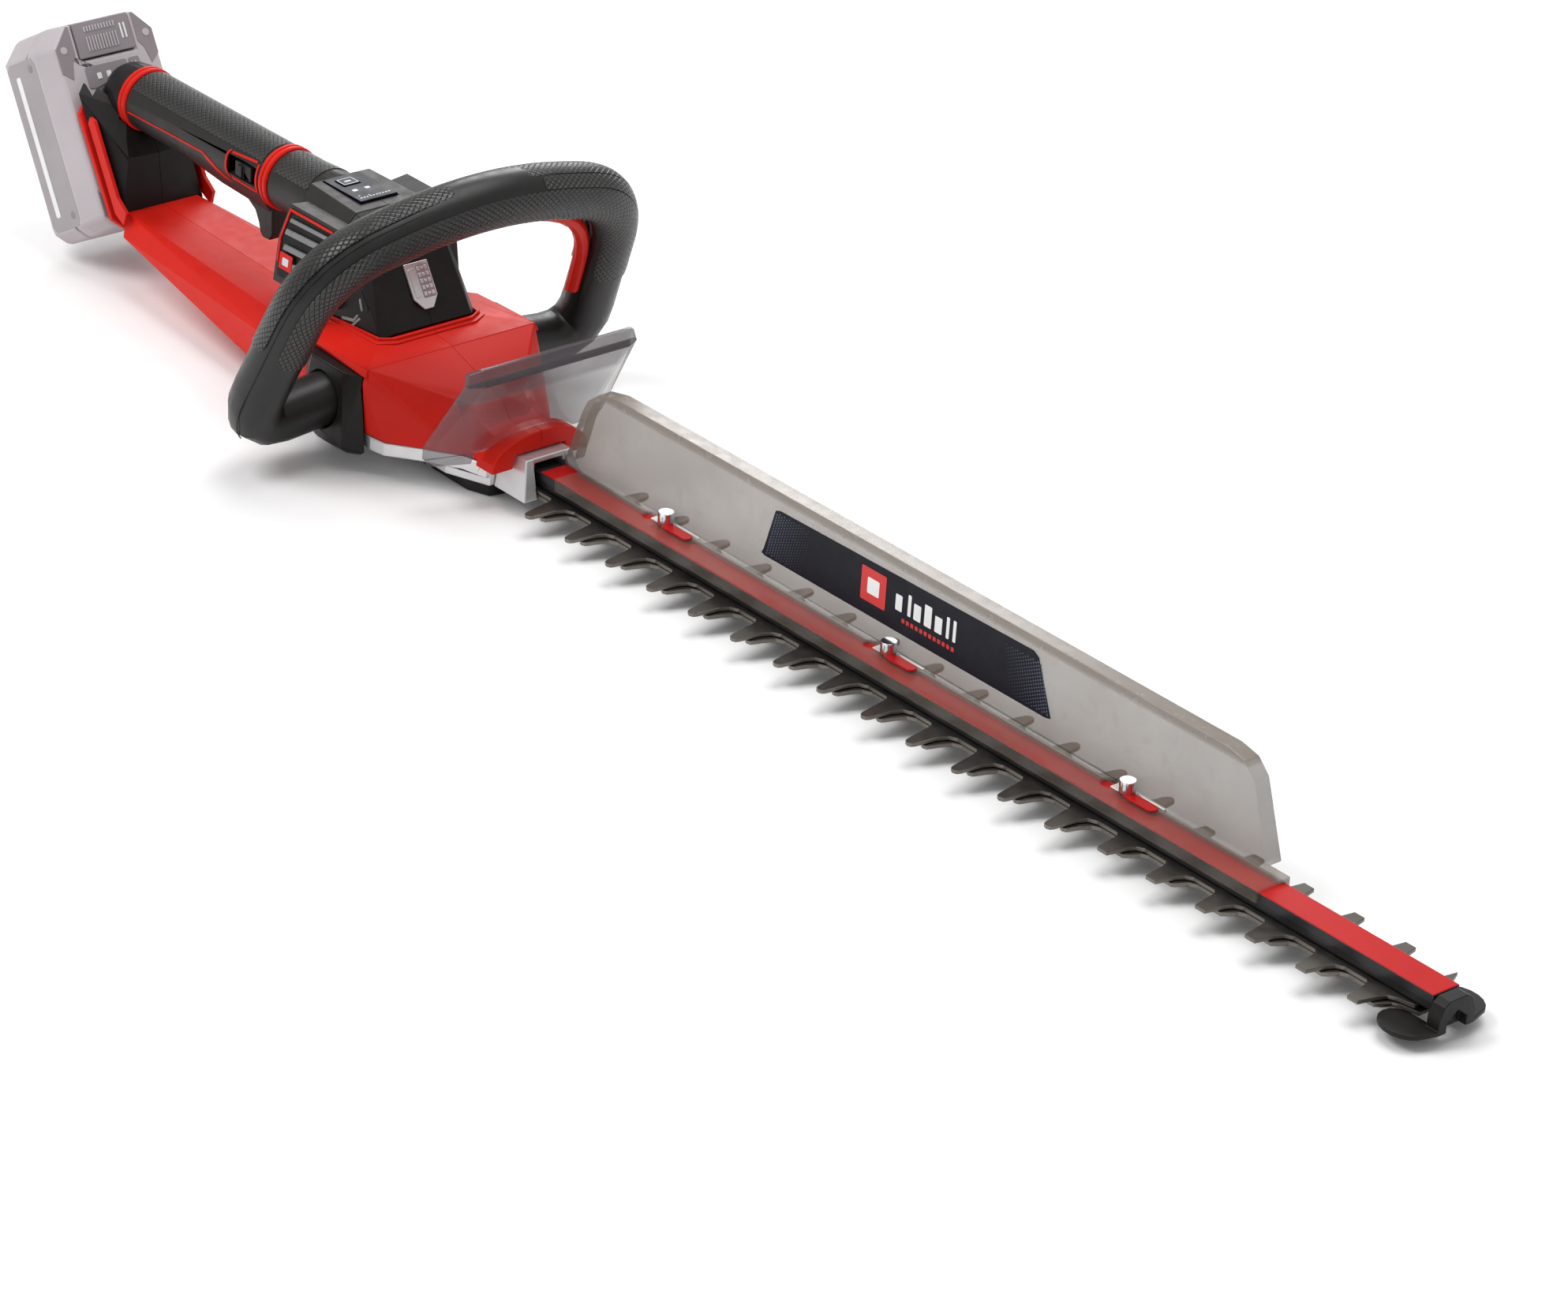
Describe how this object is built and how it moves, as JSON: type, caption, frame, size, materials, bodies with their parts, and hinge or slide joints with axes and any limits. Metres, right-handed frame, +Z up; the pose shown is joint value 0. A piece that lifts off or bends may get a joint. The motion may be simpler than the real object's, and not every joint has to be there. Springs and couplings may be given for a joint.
{
  "type": "cordless hedge trimmer",
  "caption": "Cordless hedge trimmer with two reciprocating toothed blades, a loop front handle, a turning rear grip, a hand shield, a cuttings collector and a slide-on battery.",
  "frame": {"origin": "on the flat face of the sole, in the centre plane, at floor level", "axes": "+X towards the blade tip, +Y to the left of a user who looks along the blade, +Z up"},
  "size_m": [1.1478, 0.256, 0.1693],
  "materials": {
    "blade_steel": "dark, ground edges",
    "gear_steel": "machined",
    "core_steel": "laminated",
    "zinc_steel": "zinc plated",
    "stud_chrome": "polished",
    "cast_aluminium": "satin",
    "badge_aluminium": "satin",
    "bar_aluminium": "black anodised",
    "cell_cans": "wrapped",
    "red_plastic": "fine satin",
    "red_gloss": "smooth",
    "black_plastic": "fine satin",
    "black_vent": "satin",
    "soft_grip": "diamond texture",
    "panel_navy": "smooth",
    "board_green": "board",
    "grey_shell": "fine satin",
    "grey_latch": "ribbed",
    "smoke_clear": "translucent"
  },
  "bodies": {
    "housing": {"sole": "black_plastic", "gearcase": "cast_aluminium", "gear_cover": "cast_aluminium", "blade_holder": "cast_aluminium", "guide_bar": "bar_aluminium", "bar_cover": "red_gloss", "bar_bolt_1": "zinc_steel", "bar_bolt_2": "zinc_steel", "bar_bolt_3": "zinc_steel", "bar_bolt_4": "zinc_steel", "tip_guard": "black_plastic", "gear_bearing": "gear_steel", "motor_stator": "core_steel", "motor_bearing": "gear_steel", "main_shell_right": "red_plastic", "main_shell_left": "red_plastic", "tower_cover_right": "black_plastic", "tower_cover_left": "black_plastic", "badge": "badge_aluminium", "control_housing_right": "black_plastic", "control_housing_left": "black_plastic", "display_panel": "panel_navy", "vent_right": "black_vent", "vent_left": "black_vent", "control_board": "board_green", "front_switch": "black_plastic", "ring_rear": "red_plastic", "ring_front": "red_plastic", "rear_mount_right": "black_plastic", "rear_mount_left": "black_plastic", "mount_trim": "red_plastic", "terminal_block": "black_plastic", "side_boss_right": "black_plastic", "side_boss_left": "black_plastic", "loop_handle": "soft_grip", "hand_shield": "smoke_clear", "collector_stud_1": "stud_chrome", "collector_stud_2": "stud_chrome", "collector_stud_3": "stud_chrome"},
    "gear": {"drive_gear": "gear_steel", "crank_pair": "gear_steel"},
    "rotor": {"motor_rotor": "core_steel", "pinion": "gear_steel", "motor_fan": "black_plastic"},
    "upper_blade": {"upper_blade": "blade_steel"},
    "lower_blade": {"lower_blade": "blade_steel"},
    "rear_grip": {"grip_right": "soft_grip", "grip_left": "soft_grip", "rear_switch": "black_plastic"},
    "trigger": {"trigger": "black_plastic"},
    "lock_slider": {"lock_slider": "black_plastic"},
    "loop_switch": {"switch_bail": "red_gloss"},
    "battery": {"battery_front_shell": "grey_shell", "battery_back_shell": "grey_shell", "battery_cells": "cell_cans"},
    "battery_latch": {"battery_latch": "grey_latch"},
    "collector": {"collector": "smoke_clear"},
    "mode_button": {"mode_button": "panel_navy"}
  },
  "joints": [
    {"name": "gear_turn", "type": "hinge", "parent": "housing", "child": "gear", "pos_m": [-0.042, 0, 0.022], "axis": [0, 0, 1], "continuous": true},
    {"name": "rotor_turn", "type": "hinge", "parent": "housing", "child": "rotor", "pos_m": [-0.078, 0, 0.05], "axis": [0, 0, 1], "continuous": true},
    {"name": "upper_blade_slide", "type": "slide", "parent": "housing", "child": "upper_blade", "axis": [1, 0, 0], "range_m": [-0.0055, 0.0085]},
    {"name": "lower_blade_slide", "type": "slide", "parent": "housing", "child": "lower_blade", "axis": [1, 0, 0], "range_m": [-0.0085, 0.0055]},
    {"name": "rear_grip_turn", "type": "hinge", "parent": "housing", "child": "rear_grip", "pos_m": [-0.24, 0, 0.105], "axis": [1, 0, 0], "range_deg": [-90, 90]},
    {"name": "trigger_pull", "type": "hinge", "parent": "rear_grip", "child": "trigger", "pos_m": [-0.184, 0, 0.096], "axis": [0, 1, 0], "range_deg": [0, 10], "stiffness_Nm_per_rad": 0.2, "springref_deg": -5.73},
    {"name": "lock_slider_slide", "type": "slide", "parent": "rear_grip", "child": "lock_slider", "axis": [-1, 0, 0], "range_m": [0, 0.006], "stiffness_N_per_m": 300, "springref_m": -0.004},
    {"name": "loop_switch_press", "type": "slide", "parent": "housing", "child": "loop_switch", "axis": [0.3986, 0, 0.9171], "range_m": [0, 0.004], "stiffness_N_per_m": 2000, "springref_m": -0.003},
    {"name": "battery_slide", "type": "slide", "parent": "housing", "child": "battery", "axis": [-0.5082, 0, 0.8613], "range_m": [0, 0.09]},
    {"name": "battery_latch_press", "type": "slide", "parent": "battery", "child": "battery_latch", "axis": [-0.8613, 0, -0.5082], "range_m": [0, 0.003], "stiffness_N_per_m": 1500, "springref_m": -0.002},
    {"name": "collector_slide", "type": "slide", "parent": "housing", "child": "collector", "axis": [1, 0, 0], "range_m": [0, 0.012]},
    {"name": "mode_button_press", "type": "slide", "parent": "housing", "child": "mode_button", "axis": [0, 0, -1], "range_m": [0, 0.0008], "stiffness_N_per_m": 1500, "springref_m": -0.001}
  ],
  "couplings": [
    {"joint": "rotor_turn", "follows": "gear_turn", "ratio": -6},
    {"joint": "lower_blade_slide", "follows": "upper_blade_slide", "ratio": -1}
  ]
}
